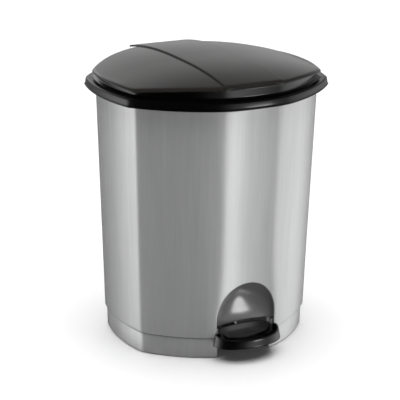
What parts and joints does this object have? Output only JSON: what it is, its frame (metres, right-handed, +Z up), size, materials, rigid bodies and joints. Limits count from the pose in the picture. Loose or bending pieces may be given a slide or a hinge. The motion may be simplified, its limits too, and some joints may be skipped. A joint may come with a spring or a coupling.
{
  "type": "pedal trash can",
  "caption": "Tapered eight-sided pedal bin with a foot pedal, push rod linkage, domed hinged lid, rim collar and a separate inner bucket with a bail.",
  "frame": {"origin": "on the floor under the centre line of the body, at the bottom of the rubber feet", "axes": "+Z up, -Y towards the pedal and the user, +X to the right when seen from the pedal side"},
  "size_m": [0.2922, 0.288, 0.3573],
  "materials": {
    "silver_plastic": "satin silver pigment",
    "silver_base": "satin silver pigment",
    "rubber_foot": "matte",
    "dark_gloss": "gloss",
    "black_plastic": "semi-gloss",
    "black_gloss": "gloss",
    "pedal_black": "semi-gloss",
    "bracket_steel": "black satin paint",
    "pin_steel": "zinc plated",
    "rod_steel": "drawn wire",
    "strap_steel": "zinc plated",
    "clip_steel": "spring steel",
    "screw_steel": "zinc plated",
    "guide_plastic": "natural",
    "bucket_plastic": "fine grained",
    "bail_wire": "bright wire",
    "grip_plastic": "matte"
  },
  "bodies": {
    "housing": {"outer_shell": "silver_plastic", "base_pan": "silver_base", "rubber_feet": "rubber_foot", "foot_niche": "dark_gloss", "rim_collar": "black_plastic", "hinge_bracket": "bracket_steel", "bracket_screws": "screw_steel", "hinge_pin": "pin_steel", "rod_guide_bottom": "guide_plastic", "rod_guide_top": "guide_plastic", "pedal_axle": "pin_steel", "axle_clips": "clip_steel", "inner_bucket": "bucket_plastic", "bail_handle": "bail_wire", "bail_grip": "grip_plastic"},
    "lid": {"lid_cover": "black_gloss", "lid_frame": "black_plastic", "lift_arm": "bracket_steel", "arm_screws": "screw_steel"},
    "rod": {"push_rod": "rod_steel", "rod_foot": "guide_plastic", "rod_clevis": "guide_plastic", "clevis_pin": "pin_steel"},
    "pedal": {"pedal_lever": "strap_steel", "pedal_tread": "pedal_black", "tread_screws": "screw_steel"}
  },
  "joints": [
    {"name": "lid_hinge", "type": "hinge", "parent": "housing", "child": "lid", "pos_m": [0, 0.1285, 0.3355], "axis": [-1, 0, 0], "range_deg": [0, 70]},
    {"name": "rod_slide", "type": "slide", "parent": "housing", "child": "rod", "axis": [0, 0.0427, 0.9991], "range_m": [0, 0.0177]},
    {"name": "pedal_pivot", "type": "hinge", "parent": "housing", "child": "pedal", "pos_m": [0, -0.045, 0.014], "axis": [1, 0, 0], "range_deg": [0, 6.91]}
  ],
  "couplings": [
    {"joint": "rod_slide", "follows": "lid_hinge", "m_per_rad": 0.014487},
    {"joint": "pedal_pivot", "follows": "lid_hinge", "ratio": 0.098714}
  ]
}
